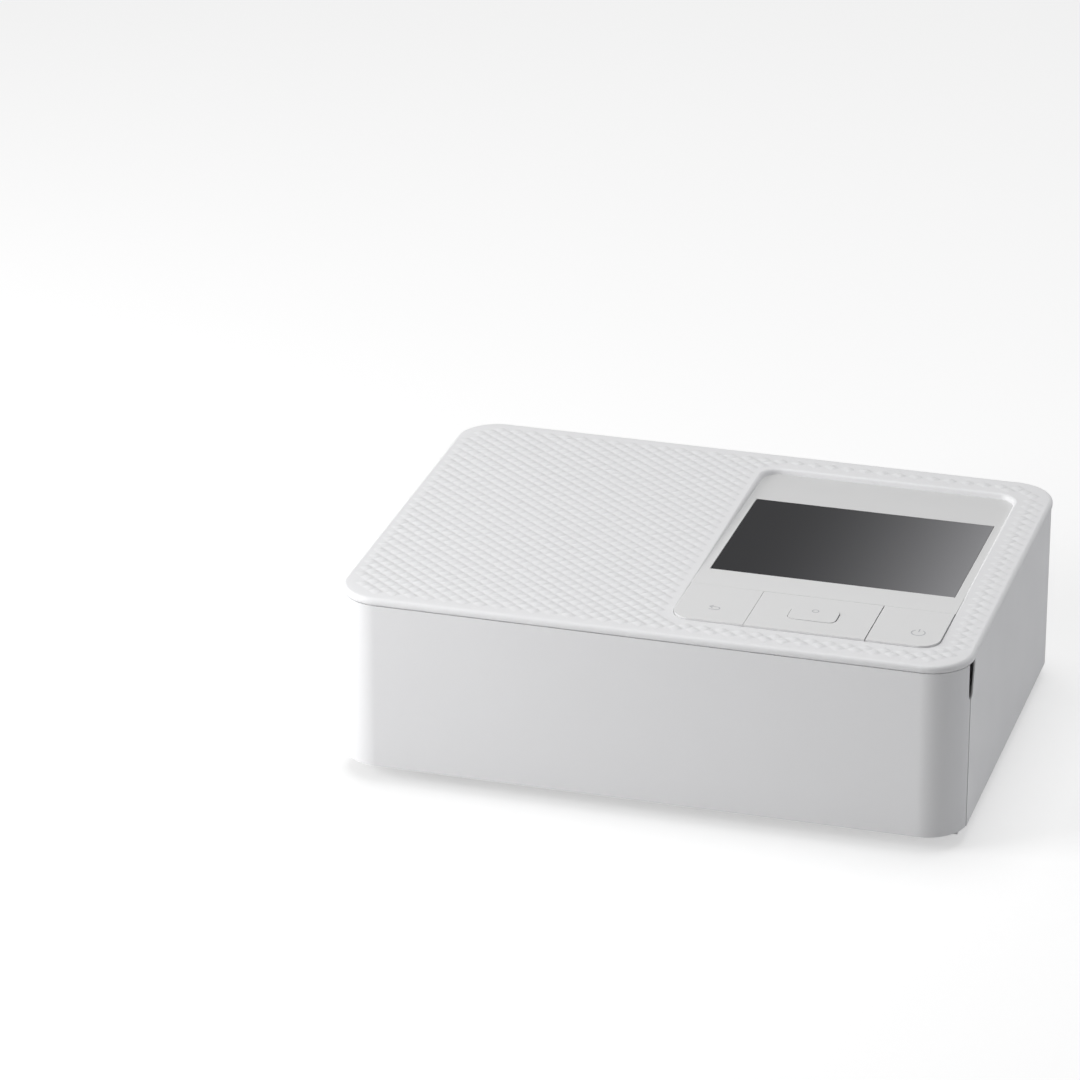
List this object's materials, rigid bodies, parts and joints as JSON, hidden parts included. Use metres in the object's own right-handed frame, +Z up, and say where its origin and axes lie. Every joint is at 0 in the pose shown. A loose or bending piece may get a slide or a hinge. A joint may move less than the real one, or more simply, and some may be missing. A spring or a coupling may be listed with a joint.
{
  "type": "compact photo printer",
  "caption": "Compact dye-sublimation photo printer: flat white case, tilted control panel with display and keys, drop-down front cover, side ink door and full feed mechanism.",
  "frame": {"origin": "middle of the printer's footprint on the table, at the bottom of the feet", "axes": "+X to the right as seen from the front, +Y to the back, +Z up"},
  "size_m": [0.1822, 0.133, 0.0576],
  "materials": {
    "white_plastic": "fine satin moulding",
    "pale_plastic": "satin moulding",
    "panel_plastic": "smooth satin",
    "grey_plastic": "matt moulding",
    "black_plastic": "matt moulding",
    "gear_plastic": "natural acetal",
    "dark_gloss": "clear hard-coated window",
    "ribbon_film": "dyed film",
    "circuit_board": "solder mask",
    "rubber": "matt",
    "steel": "zinc-plated sheet",
    "aluminium": "extruded",
    "brass": "turned",
    "ceramic": "glazed"
  },
  "bodies": {
    "root": {"base_tray": "pale_plastic", "base_screws": "steel", "rubber_feet": "rubber", "side_shell": "white_plastic", "top_cover": "white_plastic", "front_bezel": "grey_plastic", "paper_bay": "grey_plastic", "control_panel": "panel_plastic", "lcd_glass": "dark_gloss", "lcd_module": "steel", "key_board": "circuit_board", "key_switches": "steel", "left_frame": "steel", "right_frame": "steel", "gear_bracket": "steel", "shaft_bushes": "brass", "feed_motor": "steel", "ribbon_motor": "steel", "ink_cassette": "black_plastic", "ribbon_web": "ribbon_film", "entry_guide": "grey_plastic", "exit_guide": "grey_plastic", "main_board": "circuit_board", "board_parts": "black_plastic", "power_board": "circuit_board", "dc_jack": "black_plastic", "usb_port": "steel", "card_slot": "steel"},
    "front_cover": {"front_cover": "white_plastic"},
    "ink_door": {"ink_door": "white_plastic"},
    "lift_plate": {"lift_plate": "steel"},
    "back_key": {"back_key": "panel_plastic"},
    "power_key": {"power_key": "panel_plastic"},
    "nav_gimbal": {"nav_gimbal": "black_plastic"},
    "nav_pad": {"nav_pad": "panel_plastic"},
    "ok_key": {"ok_key": "panel_plastic"},
    "thermal_head": {"thermal_head": "ceramic", "head_heatsink": "aluminium", "head_bracket": "steel"},
    "platen": {"platen_shaft": "steel", "platen_rubber": "rubber", "platen_gear": "gear_plastic"},
    "capstan": {"capstan": "steel", "capstan_gear": "gear_plastic"},
    "idler": {"idler_gear": "gear_plastic"},
    "pickup": {"pickup_roller": "rubber", "pickup_gear": "gear_plastic"},
    "pinch": {"pinch_roller": "black_plastic"},
    "feed_pinion": {"feed_pinion": "brass"},
    "takeup": {"takeup_gear": "gear_plastic", "takeup_spool": "gear_plastic", "takeup_ribbon": "ribbon_film"},
    "supply": {"supply_spool": "gear_plastic", "supply_ribbon": "ribbon_film"},
    "ribbon_pinion": {"ribbon_pinion": "brass"}
  },
  "joints": [
    {"name": "front_cover_hinge", "type": "hinge", "parent": "root", "child": "front_cover", "pos_m": [0, -0.0622, 0.0066], "axis": [1, 0, 0], "range_deg": [0, 90]},
    {"name": "ink_door_hinge", "type": "hinge", "parent": "root", "child": "ink_door", "pos_m": [-0.09, 0.02475, 0.016], "axis": [0, -1, 0], "range_deg": [0, 85]},
    {"name": "lift_plate_hinge", "type": "hinge", "parent": "root", "child": "lift_plate", "pos_m": [-0.012, -0.0457, 0.0072], "axis": [1, 0, 0], "range_deg": [0, 18]},
    {"name": "back_key_press", "type": "hinge", "parent": "root", "child": "back_key", "pos_m": [0.0149, -0.0282, 0.0523], "axis": [1, 0, 0], "range_deg": [0, 1], "stiffness_Nm_per_rad": 0.8},
    {"name": "power_key_press", "type": "hinge", "parent": "root", "child": "power_key", "pos_m": [0.0704, -0.0282, 0.0523], "axis": [1, 0, 0], "range_deg": [0, 1], "stiffness_Nm_per_rad": 0.8},
    {"name": "nav_rock_up_down", "type": "hinge", "parent": "root", "child": "nav_gimbal", "pos_m": [0.0429, -0.0429, 0.0527], "axis": [1, 0, 0], "range_deg": [-1.2, 1.2], "stiffness_Nm_per_rad": 0.6},
    {"name": "nav_rock_left_right", "type": "hinge", "parent": "nav_gimbal", "child": "nav_pad", "pos_m": [0.0429, -0.0429, 0.0527], "axis": [0, 1, 0], "range_deg": [-1.2, 1.2], "stiffness_Nm_per_rad": 0.6},
    {"name": "ok_key_press", "type": "slide", "parent": "root", "child": "ok_key", "axis": [0, 0, -1], "range_m": [0, 0.00025], "stiffness_N_per_m": 3000},
    {"name": "head_lift", "type": "hinge", "parent": "root", "child": "thermal_head", "pos_m": [-0.012, 0.0204, 0.041], "axis": [1, 0, 0], "range_deg": [0, 5]},
    {"name": "platen_spin", "type": "hinge", "parent": "root", "child": "platen", "pos_m": [-0.012, 0.0255, 0.0224], "axis": [1, 0, 0], "continuous": true},
    {"name": "capstan_spin", "type": "hinge", "parent": "root", "child": "capstan", "pos_m": [-0.012, -0.0104, 0.0251], "axis": [1, 0, 0], "continuous": true},
    {"name": "idler_spin", "type": "hinge", "parent": "root", "child": "idler", "pos_m": [0.0524, 0.00516, 0.02393], "axis": [1, 0, 0], "continuous": true},
    {"name": "pickup_spin", "type": "hinge", "parent": "root", "child": "pickup", "pos_m": [-0.012, -0.02388, 0.03641], "axis": [1, 0, 0], "continuous": true},
    {"name": "pinch_spin", "type": "hinge", "parent": "root", "child": "pinch", "pos_m": [-0.012, -0.0104, 0.03245], "axis": [1, 0, 0], "continuous": true},
    {"name": "feed_pinion_spin", "type": "hinge", "parent": "root", "child": "feed_pinion", "pos_m": [0.0524, 0.04226, 0.02123], "axis": [1, 0, 0], "continuous": true},
    {"name": "takeup_spin", "type": "hinge", "parent": "root", "child": "takeup", "pos_m": [-0.012, 0.043, 0.0396], "axis": [1, 0, 0], "continuous": true},
    {"name": "supply_spin", "type": "hinge", "parent": "root", "child": "supply", "pos_m": [-0.012, 0.008, 0.0396], "axis": [1, 0, 0], "continuous": true},
    {"name": "ribbon_pinion_spin", "type": "hinge", "parent": "root", "child": "ribbon_pinion", "pos_m": [0.0524, 0.03236, 0.04148], "axis": [1, 0, 0], "continuous": true}
  ],
  "couplings": [
    {"joint": "idler_spin", "follows": "platen_spin", "ratio": -1.2174},
    {"joint": "capstan_spin", "follows": "platen_spin", "ratio": 1.75},
    {"joint": "pickup_spin", "follows": "platen_spin", "ratio": -1},
    {"joint": "pinch_spin", "follows": "platen_spin", "ratio": -2.3333},
    {"joint": "feed_pinion_spin", "follows": "platen_spin", "ratio": -2},
    {"joint": "supply_spin", "follows": "takeup_spin", "ratio": 0.69767},
    {"joint": "ribbon_pinion_spin", "follows": "takeup_spin", "ratio": -2}
  ]
}
